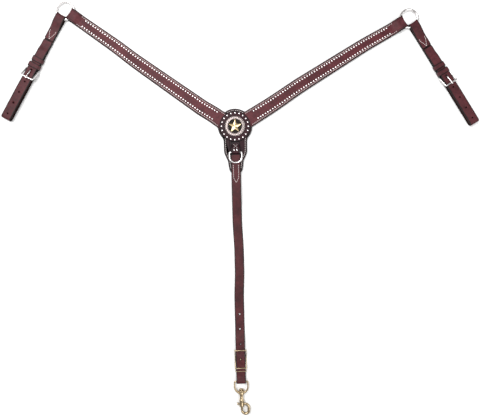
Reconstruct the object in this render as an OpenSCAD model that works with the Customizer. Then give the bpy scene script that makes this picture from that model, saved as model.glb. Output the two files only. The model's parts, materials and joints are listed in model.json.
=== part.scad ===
// Western breastplate (breast collar) laid flat: two stitched shoulder straps meet at a rosette and yoke,
// each ends in a round ring with a buckled tug, and a tie-down strap with a bolt snap runs down the middle.
// The origin is on the back of the yoke, under the middle of the concho. +Y runs up between the shoulders,
// +X to the right as seen from the front, +Z out of the front.

/* [Shoulder straps] */
// Distance from the rosette's middle to the left ring's middle, along the strap
left_len = 536.5; // [500:0.5:560]
// Distance from the rosette's middle to the right ring's middle, along the strap
right_len = 531; // [500:0.5:560]
// Angle of the left strap above the horizontal
left_angle = 35; // [32:0.1:37]
// Angle of the right strap above the horizontal
right_angle = 32.1; // [30:0.1:35]
// How far the left strap's middle line passes below the rosette's middle
left_drop = 8; // [0:0.5:9]
// How far the right strap's middle line passes below the rosette's middle
right_drop = 3; // [0:0.5:9]
// Strap width at the rosette
shoulder_w_in = 44; // [42:0.5:46]
// Strap width at the ring
shoulder_w_out = 31; // [30:0.5:32]
// Pitch of the spots along each row
spot_pitch = 7.5; // [7:0.1:9]

/* [Yoke and rosette] */
// Height of the yoke's round top above the concho's middle
yoke_top_y = 46; // [45:0.5:48]
// Radius of the yoke's round top
yoke_r = 44.5; // [44:0.5:48]
// Radius of the rosette patch
rosette_r = 40; // [38:0.5:41]
// Spots around the rosette
rosette_spot_count = 20; // [16:1:22]
// Radius of the concho
concho_r = 26; // [24:0.5:27]
// Points of the concho's star
star_points = 5; // [5:1:6]

/* [Rings and tugs] */
// Radius of the rings, to the middle of the wire
ring_r = 23; // [23:0.5:24]
// Radius of the rings' wire
ring_wire_r = 3; // [2.8:0.1:3]
// Length of a tug from the ring's middle to the bottom of its loop
tug_len = 320; // [300:1:340]
// Width of the tug straps
tug_w = 25.4; // [24:0.1:25.4]
// Angle of the left tug from the vertical
left_tug_angle = 28; // [26:0.5:34]
// Angle of the right tug from the vertical
right_tug_angle = 31.5; // [28:0.5:36]
// Pitch of the buckle holes
tug_hole_pitch = 31; // [30:0.5:31]

/* [Tie-down] */
// Angle of the tie-down strap from the vertical
tie_tilt = 1.4; // [0:0.1:3]
// Width of the tie-down strap
tie_w = 24.6; // [24:0.1:25]
// Pitch of the tie-down's holes
tie_hole_pitch = 38.5; // [38:0.1:41]

/* [Hidden] */
$fn = 48;

// Leather and metal colours
burgundy = [0.44, 0.27, 0.29];
dark_burgundy = [0.34, 0.19, 0.21];
nickel = [0.86, 0.85, 0.84];
brass = [0.72, 0.60, 0.38];
gold = [0.93, 0.83, 0.66];
antique = [0.12, 0.09, 0.04];

// Layers, from the back face up
lining_t = 3.2;
ply_t = 3;
yoke_top = lining_t + ply_t;
rosette_t = 2.4;
rosette_top = yoke_top + rosette_t;
tight = 0.15;

// Spots and screw
spot_r = 2.4;
spot_h = 1.3;
spot_circle_r = 34.5;
screw_r = 2.4;
screw_head_r = 6;
screw_head_t = 1.3;

// Shoulder straps: where they bend beside the yoke, and their loop round the ring
flex_x = 50;
flex_gap = 1.8;
loop_room = 3.7;
loop_edge = 13.8;
turnback = 62;
loop_mid_r = loop_room + ply_t / 2;
ring_z = ply_t + loop_room;
spot_first_x = 64;
spot_last = 58;
spot_row = 0.52;
lengths = [left_len, right_len];
angles = [left_angle, right_angle];
drops = [left_drop, right_drop];

// Tugs: x runs down the tug from the middle of the ring
tug_t = 2.8;
tug_angles = [left_tug_angle, right_tug_angle];
tug_shift = 1.6;
tug_ring_room = 3.3;
tug_edge = 14.5;
tug_ring_mid = tug_ring_room + tug_t / 2;
tug_ring_x = tug_edge + tug_ring_room + tug_t;
tug_back_z = 3.2;
tug_second_z = tug_back_z + tug_t + tight;
tug_loop_room = 4.3;
tug_loop_bore = 4.5;
tug_loop_mid = tug_loop_room + tug_t / 2;
tug_loop_x = tug_len - tug_loop_room - tug_t;
tug_loop_z = tug_back_z + tug_loop_mid;
tug_front_z = tug_loop_z + tug_loop_mid;
turnback_tip = 86;
billet_tip = 93;
hole_r = 2;

// Tug buckle: heel bar under the billet, front bar over it
heel_x = 175;
heel_z = 8.2;
front_x = 199;
front_z = 17.4;
bar_r = 2;
frame_half_w = 16;
frame_len = norm([front_x - heel_x, front_z - heel_z]);
frame_slope = atan2(front_z - heel_z, front_x - heel_x);
corner_r = 3;
chape_t = 1.3;
chape_room = 2.15;
chape_mid = chape_room + chape_t / 2;
chape_end = 118;
chape_low_z = tug_back_z + tug_t / 2 + 0.05 + chape_t / 2;
chape_slot_w = 6;
tongue_w = 5;
tongue_r = 1.3;
tongue_hole_x = 180;
keeper_t = 1.6;
fixed_keeper_x = 157;
fixed_keeper_len = 13;
sliding_keeper_x = 139.5;
sliding_keeper_len = 13;

// D-ring: x runs down from the rosette's middle
d_wire_r = 2.25;
d_inner_w = 27;
d_bar_x = 67.5;
d_bow_x = 78.5;
d_mid_r = d_inner_w / 2 + d_wire_r;
d_skive = 2.2;
d_z = yoke_top + d_skive + tight + d_wire_r;
d_chape_t = 1.4;
d_chape_room = 2.4;
d_chape_mid = d_chape_room + d_chape_t / 2;
d_chape_w = 22.5;
d_chape_x = rosette_r + 0.4;

// Tie-down strap
tie_flex_x = 154;
tie_t = 3;
tie_z = yoke_top + tie_t / 2;
tie_floor_z = tie_t / 2;
tie_lift = 2.2;
tie_low_z = tie_lift + tie_t / 2;
tie_high_z = tie_low_z + tie_t + tight;
tie_tip_x = 571;
tie_hole_r = 2.2;
conway_x = 602;
conway_half = 22.8;
conway_bar_r = 1.5;
conway_bar_z = tie_high_z + tie_t / 2 + 0.1 + conway_bar_r;
conway_mid_r = 1.4;
conway_mid_z = 2.6;
conway_hump = conway_mid_z + conway_mid_r + 0.1 + tie_t / 2 - tie_low_z;
rail_t = 2.4;
rail_y = tie_w / 2 + 0.7 + rail_t / 2;
keeper_x = 633;
keeper_wire_r = 1;

// Bolt snap: x runs down from the eye's bar
eye_x = 659.6;
eye_z = 8;
eye_wire_r = 2;
eye_mid_r = 17.2;
eye_bow = 13;
eye_room = 2.3;
collar_x = [22, 32.6];
collar_r = 7.9;
post_r = 3.5;
post_bore_r = 3.56;
barrel_r = 6.2;
bolt_r = 3;
bolt_bore_r = 3.08;
bolt_travel = 7.5;
knob_x = 57.5;
hook_wire_r = 3.4;
hook_mid_r = 9;
hook_y = 9.2;
hook_top_x = 67;
hook_low_x = 74;
spring_x = [38, 50];
spring_turns = 7;
spring_wire_r = 0.4;

// Curves

// Points of a circle of radius r about c, from angle a to angle b
function arc(c, r, a, b, n = 12) =
    [for (i = [0:n]) let (t = a + (b - a) * i / n) [c[0] + r * cos(t), c[1] + r * sin(t)]];

// A smooth step from point p to point q, flat at both ends
function step_between(p, q, n = 8) =
    [for (i = [0:n]) [p[0] + (q[0] - p[0]) * i / n, p[1] + (q[1] - p[1]) * (1 - cos(180 * i / n)) / 2]];

function backwards(p) = [for (i = [len(p) - 1:-1:0]) p[i]];
function unit(v) = v / norm(v);
function along(p, i) =
    unit((i < len(p) - 1 ? unit(p[i + 1] - p[i]) : [0, 0]) + (i > 0 ? unit(p[i] - p[i - 1]) : [0, 0]));
function beside(p, i, d) = p[i] + d * [-along(p, i)[1], along(p, i)[0]];

// The outline of a strip of thickness t that follows the points p
function ribbon(p, t) = concat(
    [for (i = [0:len(p) - 1]) beside(p, i, t / 2)],
    [for (i = [len(p) - 1:-1:0]) beside(p, i, -t / 2)]
);

// A strip seen from the side, given its width
module strip(p, t, w) {
    rotate([90, 0, 0])
        linear_extrude(w, center = true)
            polygon(ribbon(p, t));
}

// A round bar along y, at x and z
module cross_bar(x, z, r, w) {
    translate([x, 0, z])
        rotate([90, 0, 0])
            cylinder(r = r, h = w, center = true);
}

// A quarter turn of round wire about the origin, in the x-y plane
module wire_bend(mid_r, wire_r, start, turn = 90) {
    rotate([0, 0, start])
        rotate_extrude(angle = turn)
            translate([mid_r, 0])
                circle(r = wire_r);
}

// A round wire from x = a to x = b at the given y
module wire_run(a, b, y, r) {
    translate([a, y, 0])
        rotate([0, 90, 0])
            cylinder(r = r, h = b - a);
}

// A rectangle of round wire with rounded corners: bars at x = 0 and x = l, sides at y = +-half
module wire_frame(l, half, r, bend) {
    for (side = [-1, 1]) {
        wire_run(bend, l - bend, side * half, r);
        for (end = [0, 1])
            translate([end ? l - bend : bend, side * (half - bend), 0])
                wire_bend(bend, r, side > 0 ? (end ? 0 : 90) : (end ? 270 : 180));
    }
    cross_bar(0, 0, r, 2 * (half - bend));
    cross_bar(l, 0, r, 2 * (half - bend));
}

// Places

// side 0 is the left, side 1 the right
module on_side(side) {
    mirror([side == 0 ? 1 : 0, 0, 0]) children();
}

// x runs out along a shoulder strap from the rosette
module shoulder_place(side) {
    on_side(side)
        translate([0, -drops[side], 0])
            rotate([0, 0, angles[side]])
                children();
}

// The middle of a ring, with x down along its tug
module ring_place(side) {
    on_side(side)
        translate([lengths[side] * cos(angles[side]), lengths[side] * sin(angles[side]) - drops[side], 0])
            rotate([0, 0, tug_angles[side] - 90])
                children();
}

module tug_place(side) {
    ring_place(side)
        translate([0, tug_shift, 0])
            children();
}

// x runs down the tie-down strap from the rosette
module down_place() {
    rotate([0, 0, tie_tilt - 90]) children();
}

// x runs down the bolt snap from its eye's bar, in the plane of the hook
module snap_place() {
    down_place()
        translate([eye_x, 0, eye_z])
            children();
}

// Yoke

// Half the shield's width at stations down from the rosette's middle
shield = [[0, 45], [8, 43], [38, 29.5], [58, 29], [96, 18.5], [108, 17], [127, 9]];

function shield_side(sign) = [
    for (i = [0:len(shield) - 2])
        for (q = step_between(shield[i], shield[i + 1], 5))
            [q[0], sign * q[1]]
];

// Half the width of a shoulder strap at x
function half_w(x) = (shoulder_w_in + (shoulder_w_out - shoulder_w_in) * x / left_len) / 2;

// The plan of a shoulder strap between two distances
module shoulder_plan(a, b) {
    polygon([[a, -half_w(a)], [b, -half_w(b)], [b, half_w(b)], [a, half_w(a)]]);
}

module spot() {
    cylinder(r1 = spot_r, r2 = spot_r * 0.55, h = spot_h);
}

// The yoke: the round top, cut short of the bends, the shield, and the stubs that carry the shoulder straps
module yoke_plan_solid(t) {
    difference() {
        translate([0, yoke_top_y - yoke_r, 0]) linear_extrude(t) circle(r = yoke_r);
        for (side = [0, 1])
            shoulder_place(side)
                translate([flex_x - flex_gap - 0.2, -30, -1])
                    cube([30, 60, t + 2]);
    }
    down_place()
        linear_extrude(t)
            polygon(concat(shield_side(1), backwards(shield_side(-1))));
    for (side = [0, 1])
        shoulder_place(side)
            linear_extrude(t)
                shoulder_plan(10, flex_x - flex_gap);
}

module yoke_lining() {
    color(dark_burgundy)
    difference() {
        yoke_plan_solid(lining_t);
        translate([0, 0, -1]) cylinder(r = screw_r + 0.05, h = lining_t + 2);
        translate([0, 0, -1]) cylinder(r = screw_head_r + 0.2, h = screw_head_t + 1.1);
    }
}

module yoke() {
    color(dark_burgundy)
    difference() {
        translate([0, 0, lining_t]) yoke_plan_solid(ply_t);
        cylinder(r = screw_r + 0.05, h = yoke_top + 1);
    }
}

module rosette() {
    color(dark_burgundy)
    translate([0, 0, yoke_top])
    difference() {
        cylinder(r = rosette_r, h = rosette_t);
        translate([0, 0, -1]) cylinder(r = screw_r + 0.05, h = rosette_t + 2);
    }
}

module rosette_spots() {
    color(nickel)
    for (i = [0:rosette_spot_count - 1])
        rotate([0, 0, 90 + 360 * i / rosette_spot_count])
            translate([spot_circle_r, 0, rosette_top])
                spot();
}

// Concho

module concho_plate() {
    rim = [[0, 0], [concho_r, 0], [concho_r, 1.6], [concho_r - 1.5, 3], [concho_r - 4, 3.6],
        [concho_r - 7.5, 2.4], [concho_r - 7.5, 1.2], [0, 1.2]];
    color(nickel)
    translate([0, 0, rosette_top])
    difference() {
        rotate_extrude() polygon(rim);
        translate([0, 0, -1]) cylinder(r = screw_r - 0.6, h = 1.6);
    }
}

module concho_field() {
    color(antique)
    translate([0, 0, rosette_top + 1.2])
        cylinder(r = concho_r - 7.7, h = 0.6);
}

module concho_star() {
    tip = concho_r - 8;
    color(gold)
    translate([0, 0, rosette_top + 1.8])
    linear_extrude(1.8)
        polygon([
            for (i = [0:2 * star_points - 1])
                let (r = i % 2 == 0 ? tip : tip * 0.4, t = 90 + 180 * i / star_points)
                    [r * cos(t), r * sin(t)]
        ]);
}

module concho_screw() {
    color(nickel) {
        cylinder(r = screw_head_r, h = screw_head_t);
        cylinder(r = screw_r, h = rosette_top);
        cylinder(r = screw_r - 0.6, h = rosette_top + 0.5);
    }
}

// D-ring

module d_ring_chape() {
    low_z = yoke_top + d_chape_t / 2;
    high_z = low_z + d_chape_t + 0.05;
    path = concat(
        [[d_chape_x, low_z]],
        step_between([d_bar_x - 9, low_z], [d_bar_x - 1, d_z - d_chape_mid]),
        arc([d_bar_x, d_z], d_chape_mid, -90, 90, 16),
        step_between([d_bar_x - 9, d_z + d_chape_mid], [d_bar_x - 22, high_z]),
        [[d_chape_x, high_z]]
    );
    color(dark_burgundy)
    down_place()
        strip(path, d_chape_t, d_chape_w);
}

module chape_rivets() {
    color(nickel)
    down_place()
        for (side = [-1, 1])
            translate([d_bar_x - 5.5, side * 3.6, d_z + d_chape_mid + d_chape_t / 2])
                spot();
}

module d_ring() {
    color(nickel)
    down_place()
    translate([0, 0, d_z]) {
        cross_bar(d_bar_x, 0, d_wire_r, 2 * (d_mid_r - corner_r));
        for (side = [-1, 1]) {
            translate([d_bar_x + corner_r, side * (d_mid_r - corner_r), 0])
                wire_bend(corner_r, d_wire_r, side > 0 ? 90 : 180);
            wire_run(d_bar_x + corner_r, d_bow_x, side * d_mid_r, d_wire_r);
        }
        translate([d_bow_x, 0, 0])
            wire_bend(d_mid_r, d_wire_r, -90, 180);
    }
}

// Tie-down

// The sewn end of the strap, thinned under the D-ring
module tie_down_end() {
    a = d_bar_x + d_chape_mid + d_chape_t;
    b = tie_flex_x - flex_gap;
    outline = [[a, yoke_top], [b, yoke_top], [b, yoke_top + tie_t], [106, yoke_top + tie_t],
        [99, yoke_top + d_skive], [a, yoke_top + d_skive]];
    color(burgundy)
    down_place()
    rotate([90, 0, 0])
        linear_extrude(tie_w, center = true)
            polygon(outline);
}

// A layer at height z that rises over the centre bar of the buckle
function humped(z) = concat(
    step_between([conway_x - 18, z], [conway_x - 2, z + conway_hump]),
    step_between([conway_x + 2, z + conway_hump], [conway_x + 18, z])
);
module tie_down_strap() {
    path = concat(
        [[tie_flex_x + flex_gap, tie_z]],
        step_between([168, tie_z], [250, tie_floor_z], 10),
        step_between([525, tie_floor_z], [560, tie_high_z], 10),
        humped(tie_high_z),
        step_between([646, tie_high_z], [eye_x - 1, eye_z + eye_room + tie_t / 2]),
        arc([eye_x, eye_z], eye_room + tie_t / 2, 90, -90, 16),
        step_between([eye_x - 1, eye_z - eye_room - tie_t / 2], [646, tie_low_z]),
        backwards(humped(tie_low_z)),
        [[tie_tip_x, tie_low_z]]
    );
    color(burgundy)
    down_place()
    difference() {
        strip(path, tie_t, tie_w);
        for (i = [0:3])
            translate([conway_x - i * tie_hole_pitch, 0, -1])
                cylinder(r = tie_hole_r, h = 20);
    }
}

module conway_buckle() {
    color(brass)
    down_place() {
        for (end = [-1, 1])
            cross_bar(conway_x + end * conway_half, conway_bar_z, conway_bar_r, 2 * rail_y);
        cross_bar(conway_x, conway_mid_z, conway_mid_r, 2 * rail_y);
        for (side = [-1, 1])
            translate([0, side * rail_y, 0])
                rotate([90, 0, 0])
                    linear_extrude(rail_t, center = true)
                        polygon([
                            [conway_x - conway_half - 2, 7.6], [conway_x - 8, 0.8], [conway_x + 8, 0.8],
                            [conway_x + conway_half + 2, 7.6], [conway_x + conway_half + 2, 11.6],
                            [conway_x + conway_half - 2, 11.6], [conway_x + 8, 5.4], [conway_x - 8, 5.4],
                            [conway_x - conway_half + 2, 11.6], [conway_x - conway_half - 2, 11.6],
                        ]);
        translate([conway_x, 0, conway_mid_z])
            cylinder(r = tie_hole_r - 0.6, h = 9.6);
    }
}

module wire_keeper() {
    low = tie_lift - 0.1 - keeper_wire_r;
    high = tie_high_z + tie_t / 2 + 0.1 + keeper_wire_r;
    color(brass)
    down_place()
    translate([keeper_x, 0, low])
        rotate([0, -90, 0])
            wire_frame(high - low, tie_w / 2 + 0.3 + keeper_wire_r, keeper_wire_r, keeper_wire_r + 0.2);
}

// Bolt snap

module snap_eye() {
    color(brass)
    snap_place()
    difference() {
        union() {
            cross_bar(0, 0, eye_wire_r, 2 * (eye_mid_r - corner_r));
            for (side = [-1, 1]) {
                translate([corner_r, side * (eye_mid_r - corner_r), 0])
                    wire_bend(corner_r, eye_wire_r, side > 0 ? 90 : 180);
                wire_run(corner_r, eye_bow, side * eye_mid_r, eye_wire_r);
            }
            translate([eye_bow, 0, 0])
                wire_bend(eye_mid_r, eye_wire_r, -90, 180);
            wire_run(collar_x[0], collar_x[1], 0, collar_r);
        }
        wire_run(collar_x[0] - 5, collar_x[1] + 5, 0, post_bore_r);
    }
}

// A cone along x
module taper(a, b, ra, rb) {
    translate([a, 0, 0])
        rotate([0, 90, 0])
            cylinder(r1 = ra, r2 = rb, h = b - a);
}

module snap_body() {
    color(brass)
    snap_place()
    difference() {
        union() {
            wire_run(collar_x[0] - 4, collar_x[0] - 0.3, 0, 5.5);
            wire_run(collar_x[0] - 1, collar_x[1] + 3, 0, post_r);
            wire_run(collar_x[1] + 0.4, collar_x[1] + 2.4, 0, 6);
            taper(collar_x[1] + 2.2, 48, 4.6, 5.8);
            wire_run(48, 64, 0, barrel_r);
            translate([0, hook_y, 0]) {
                translate([hook_top_x, 0, 0])
                    wire_bend(hook_mid_r, hook_wire_r, 90);
                wire_run(hook_top_x, hook_low_x, hook_mid_r, hook_wire_r);
                translate([hook_low_x, 0, 0])
                    wire_bend(hook_mid_r, hook_wire_r, -90, 180);
            }
            translate([hook_top_x - hook_mid_r, hook_y / 2 + 2, 0])
                rotate([90, 0, 0])
                    cylinder(r = hook_wire_r, h = hook_y - 4, center = true);
        }
        wire_run(spring_x[0] - 0.2, 80, 0, bolt_bore_r);
        translate([knob_x - bolt_travel - 2, -12, -1.7]) cube([bolt_travel + 4, 12, 3.4]);
    }
}

module snap_bolt() {
    color(brass)
    snap_place() {
        wire_run(spring_x[1] + 0.2, hook_low_x - 1, 0, bolt_r);
        translate([knob_x, 0, 0])
            rotate([90, 0, 0])
                cylinder(r = 1.4, h = 9);
        translate([knob_x, -8, 0])
            rotate([90, 0, 0])
                cylinder(r = 3.7, h = 3.6);
    }
}

// The spring behind the bolt: an eight-sided wire swept along a helix
module snap_spring() {
    n = spring_turns * 16;
    mid_r = bolt_bore_r - spring_wire_r - 0.2;
    length = spring_x[1] - spring_x[0] - 2 * spring_wire_r;
    points = [
        for (i = [0:n]) let (t = 360 * spring_turns * i / n)
            for (k = [0:7]) let (r = mid_r + spring_wire_r * cos(45 * k))
                [spring_x[0] + spring_wire_r + length * i / n + spring_wire_r * sin(45 * k),
                    r * cos(t), r * sin(t)]
    ];
    faces = concat(
        [[for (k = [0:7]) k]],
        [for (i = [0:n - 1]) for (k = [0:7])
            [8 * i + k, 8 * (i + 1) + k, 8 * (i + 1) + (k + 1) % 8, 8 * i + (k + 1) % 8]],
        [[for (k = [7:-1:0]) 8 * n + k]]
    );
    color(nickel)
    snap_place()
        polyhedron(points, faces, convexity = 8);
}

// Shoulders

// The space that the ring's wire needs as it tilts in its loop
module ring_space(r) {
    translate([0, 0, ring_z])
        rotate_extrude()
            translate([ring_r, 0])
                circle(r = r);
}

module shoulder_top(side) {
    ring_x = lengths[side];
    path = concat(
        [[flex_x + flex_gap, lining_t + ply_t / 2]],
        step_between([ring_x - 52, lining_t + ply_t / 2], [ring_x - 30, ring_z + loop_mid_r]),
        arc([ring_x - loop_edge - loop_room - ply_t, ring_z], loop_mid_r, 90, -90, 16),
        [[ring_x - turnback, ply_t / 2]]
    );
    color(burgundy)
    shoulder_place(side)
    difference() {
        intersection() {
            strip(path, ply_t, 60);
            translate([0, 0, -5])
                linear_extrude(30)
                    shoulder_plan(flex_x, ring_x);
        }
        translate([ring_x, 0, 0]) ring_space(ring_wire_r + 0.9);
    }
}

module shoulder_lining(side) {
    color(dark_burgundy)
    shoulder_place(side)
        linear_extrude(lining_t - 0.1)
            shoulder_plan(flex_x + flex_gap, lengths[side] - turnback - 0.3);
}

module shoulder_spots(side) {
    color(nickel)
    shoulder_place(side)
        for (x = [spot_first_x:spot_pitch:lengths[side] - spot_last])
            for (row = [-1, 1])
                translate([x, row * half_w(x) * spot_row, yoke_top])
                    spot();
}

module ring(side) {
    color(nickel)
    ring_place(side)
        ring_space(ring_wire_r);
}

// Tugs

// The billet, from its tip up over the buckle's heel bar and out to the loop's front layer
billet = concat(
    [[billet_tip, tug_second_z]],
    step_between([106, tug_second_z], [122, tug_second_z + 2.7]),
    step_between([150, tug_second_z + 2.7], [heel_x, heel_z + 5]),
    step_between([front_x - 6, heel_z + 5.2], [240, tug_front_z])
);

module tug_strap(side) {
    path = concat(
        [[turnback_tip, tug_second_z]],
        step_between([56, tug_second_z], [30, ring_z + tug_ring_mid]),
        arc([tug_ring_x, ring_z], tug_ring_mid, 90, 270, 16),
        step_between([30, ring_z - tug_ring_mid], [56, tug_back_z]),
        arc([tug_loop_x, tug_loop_z], tug_loop_mid, -90, 90, 16),
        backwards(billet)
    );
    color(burgundy)
    difference() {
        tug_place(side)
        difference() {
            strip(path, tug_t, tug_w);
            cross_bar(tug_loop_x, tug_loop_z, tug_loop_bore, tug_w + 2);
            for (i = [1:4])
                translate([tongue_hole_x + i * tug_hole_pitch, 0, tug_loop_z])
                    cylinder(r = hole_r, h = 12);
            translate([tongue_hole_x - 6, -1.8, tug_loop_z + 0.5]) cube([10, 3.6, 12]);
        }
        ring_place(side) ring_space(ring_wire_r + 0.35);
    }
}

module buckle_chape(side) {
    path = concat(
        [[chape_end, chape_low_z]],
        step_between([heel_x - 9, chape_low_z], [heel_x - 1, heel_z - chape_mid]),
        arc([heel_x, heel_z], chape_mid, -90, 90, 16),
        step_between([heel_x - 1, heel_z + chape_mid], [heel_x - 13, chape_low_z + chape_t + 0.05]),
        [[chape_end + 4, chape_low_z + chape_t + 0.05]]
    );
    color(burgundy)
    tug_place(side)
    difference() {
        strip(path, chape_t, tug_w - 2);
        translate([heel_x - 5, -chape_slot_w / 2, 0]) cube([20, chape_slot_w, 20]);
    }
}

module buckle_frame(side) {
    color(nickel)
    tug_place(side)
        translate([heel_x, 0, heel_z])
            rotate([0, -frame_slope, 0])
                wire_frame(frame_len, frame_half_w, bar_r, corner_r);
}

// A round rod from a to b in the middle plane
module rod(a, b, r) {
    translate([a[0], 0, a[1]])
        rotate([0, 90 - atan2(b[1] - a[1], b[0] - a[0]), 0])
            cylinder(r = r, h = norm(b - a));
}

module buckle_tongue(side) {
    knee = [heel_x + 5.2, heel_z + 8.3];
    tip = [front_x + 4.5, front_z + 4.6];
    color(nickel)
    tug_place(side)
    difference() {
        union() {
            cross_bar(heel_x, heel_z, 3.2, tongue_w);
            rod([heel_x + 1, heel_z + 1.8], knee, tongue_r);
            translate([knee[0], 0, knee[1]]) sphere(r = tongue_r + 0.1);
            rod(knee, tip, tongue_r);
        }
        cross_bar(heel_x, heel_z, bar_r + 0.08, tongue_w + 2);
    }
}

// A leather band round the tug between two heights
module keeper_band(x, l, low, high) {
    translate([x, 0, 0])
    difference() {
        translate([0, -tug_w / 2 - 0.5 - keeper_t, low - keeper_t])
            cube([l, tug_w + 1 + 2 * keeper_t, high - low + 2 * keeper_t]);
        translate([-1, -tug_w / 2 - 0.5, low])
            cube([l + 2, tug_w + 1, high - low]);
    }
}

module fixed_keeper(side) {
    color(burgundy)
    tug_place(side)
        keeper_band(fixed_keeper_x, fixed_keeper_len, tug_back_z - tug_t / 2, heel_z + 6.3);
}

module sliding_keeper(side) {
    color(burgundy)
    tug_place(side)
        keeper_band(sliding_keeper_x, sliding_keeper_len, tug_back_z - tug_t / 2 - 0.1, tug_second_z + 4.9);
}

module left_shoulder_top() shoulder_top(0);
module left_shoulder_lining() shoulder_lining(0);
module left_shoulder_spots() shoulder_spots(0);
module left_ring() ring(0);
module left_tug_strap() tug_strap(0);
module left_buckle_chape() buckle_chape(0);
module left_buckle_frame() buckle_frame(0);
module left_buckle_tongue() buckle_tongue(0);
module left_fixed_keeper() fixed_keeper(0);
module left_sliding_keeper() sliding_keeper(0);
module right_shoulder_top() shoulder_top(1);
module right_shoulder_lining() shoulder_lining(1);
module right_shoulder_spots() shoulder_spots(1);
module right_ring() ring(1);
module right_tug_strap() tug_strap(1);
module right_buckle_chape() buckle_chape(1);
module right_buckle_frame() buckle_frame(1);
module right_buckle_tongue() buckle_tongue(1);
module right_fixed_keeper() fixed_keeper(1);
module right_sliding_keeper() sliding_keeper(1);

yoke_lining();
yoke();
rosette();
rosette_spots();
concho_plate();
concho_field();
concho_star();
concho_screw();
d_ring_chape();
chape_rivets();
d_ring();
tie_down_end();
tie_down_strap();
conway_buckle();
wire_keeper();
snap_eye();
snap_body();
snap_spring();
snap_bolt();
left_shoulder_top();
left_shoulder_lining();
left_shoulder_spots();
left_ring();
left_tug_strap();
left_buckle_chape();
left_buckle_frame();
left_buckle_tongue();
left_fixed_keeper();
left_sliding_keeper();
right_shoulder_top();
right_shoulder_lining();
right_shoulder_spots();
right_ring();
right_tug_strap();
right_buckle_chape();
right_buckle_frame();
right_buckle_tongue();
right_fixed_keeper();
right_sliding_keeper();
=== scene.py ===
# Western breastplate: leather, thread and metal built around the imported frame.
# Lengths are millimetres in each strap's own place until put() turns them into metres in the frame.
import json
import math
import bpy
import numpy as np
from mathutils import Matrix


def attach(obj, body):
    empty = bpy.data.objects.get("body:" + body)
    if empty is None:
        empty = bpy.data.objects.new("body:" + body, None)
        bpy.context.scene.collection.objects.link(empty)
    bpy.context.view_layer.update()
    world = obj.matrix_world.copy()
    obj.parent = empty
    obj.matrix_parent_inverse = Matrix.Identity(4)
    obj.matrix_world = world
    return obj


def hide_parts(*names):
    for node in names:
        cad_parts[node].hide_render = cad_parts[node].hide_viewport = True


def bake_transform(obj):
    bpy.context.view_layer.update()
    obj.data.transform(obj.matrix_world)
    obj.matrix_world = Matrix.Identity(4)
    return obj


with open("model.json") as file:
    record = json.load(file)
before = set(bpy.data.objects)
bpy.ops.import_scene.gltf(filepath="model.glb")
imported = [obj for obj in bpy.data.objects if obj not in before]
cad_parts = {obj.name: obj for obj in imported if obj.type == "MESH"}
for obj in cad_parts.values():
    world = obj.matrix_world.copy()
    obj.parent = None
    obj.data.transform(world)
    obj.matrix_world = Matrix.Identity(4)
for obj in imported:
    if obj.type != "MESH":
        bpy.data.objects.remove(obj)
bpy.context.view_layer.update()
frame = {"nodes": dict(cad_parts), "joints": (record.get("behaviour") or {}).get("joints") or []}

mm = 0.001
joints = {j["name"]: j for j in frame["joints"]}


class Place:
    # a strap's own place: x runs along it, y across it, z up from the table
    # a bow (a, b, c, d, amount) shifts it across by the amount, rising from a to b and falling from c to d
    def __init__(self, hinge, distance=0.0, keepHeight=False, bow=None):
        self.bow = bow
        axis = np.array(joints[hinge]["axis"], float)
        self.along = np.array([-axis[1], axis[0], 0.0])
        self.across = np.array([-self.along[1], self.along[0], 0.0])
        start = np.array(joints[hinge]["pos_m"], float) - distance * mm * self.along
        self.origin = np.array([start[0], start[1], start[2] if keepHeight else 0.0])

    def put(self, points):
        points = np.array(points, float)
        if self.bow:
            a, b, c, d, amount = self.bow
            x = points[..., 0]
            points[..., 1] += amount * smooth(x, a, b) * (1 - smooth(x, c, d))
        return self.origin + self.turn(points * mm)

    def placed(self, shape):
        # a shape's points put into the frame, with its faces as they are
        return self.put(shape[0]), shape[1]

    def turn(self, d):
        d = np.asarray(d, float)
        return d[..., :1] * self.along + d[..., 1:2] * self.across + d[..., 2:] * np.array([0, 0, 1.0])

    def at(self, x, y=0.0, z=0.0):
        return tuple(self.put([x, y, z]))

    def find(self, point):
        # a point of the frame as x and y of this place
        d = (np.asarray(point, float) - self.origin) / mm
        return np.stack([d @ self.along, d @ self.across], -1)


bows = {"left": (60, 110, 300, 390, 2.5), "right": (95, 215, 380, 500, 3.7),
    "down": (240, 330, 370, 450, 2.8)}
down = Place("tie_down_flex", 154, bow=bows["down"])
snapPlace = Place("snap_eye_hinge", 0, keepHeight=True)
sides = ("left", "right")
shoulderPlace = {side: Place(side + "_shoulder_flex", 50, bow=bows[side]) for side in sides}
tugPlace = {side: Place(side + "_tongue_lift", 175) for side in sides}
ringMiddle = {side: np.array(joints[side + "_tug_swing"]["pos_m"], float) for side in sides}


def smooth(x, a, b):
    # 0 before a, 1 after b, and t * t * (3 - 2t) between
    t = np.clip((np.asarray(x, float) - a) / (b - a), 0, 1)
    return t * t * (3 - 2 * t)


def arcPoints(centre, radius, start, end, count=24):
    # centre + radius * (cos, sin) from one angle to another
    t = np.radians(np.linspace(start, end, count + 1))
    return np.stack([centre[0] + radius * np.cos(t), centre[1] + radius * np.sin(t)], 1)


def stepPoints(p, q, count=16):
    # half a cosine wave from p to q, level at both ends
    t = np.linspace(0, 1, count + 1)
    rise = (1 - np.cos(math.pi * t)) / 2
    return np.stack([p[0] + (q[0] - p[0]) * t, p[1] + (q[1] - p[1]) * rise], 1)


def runOf(line):
    # length run along a line at each of its points
    steps = np.linalg.norm(np.diff(line, axis=0), axis=1)
    return np.concatenate([[0], np.cumsum(steps)])


def averaged(values, reach):
    # each value as the mean of itself and its neighbours up to the reach on both sides
    count = 2 * reach + 1
    return np.convolve(np.pad(values, reach, "edge"), np.ones(count) / count, "valid")


def atHeight(points, z=0.0):
    # flat points with their height added
    return np.pad(points, ((0, 0), (0, 1)), constant_values=z)


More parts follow.
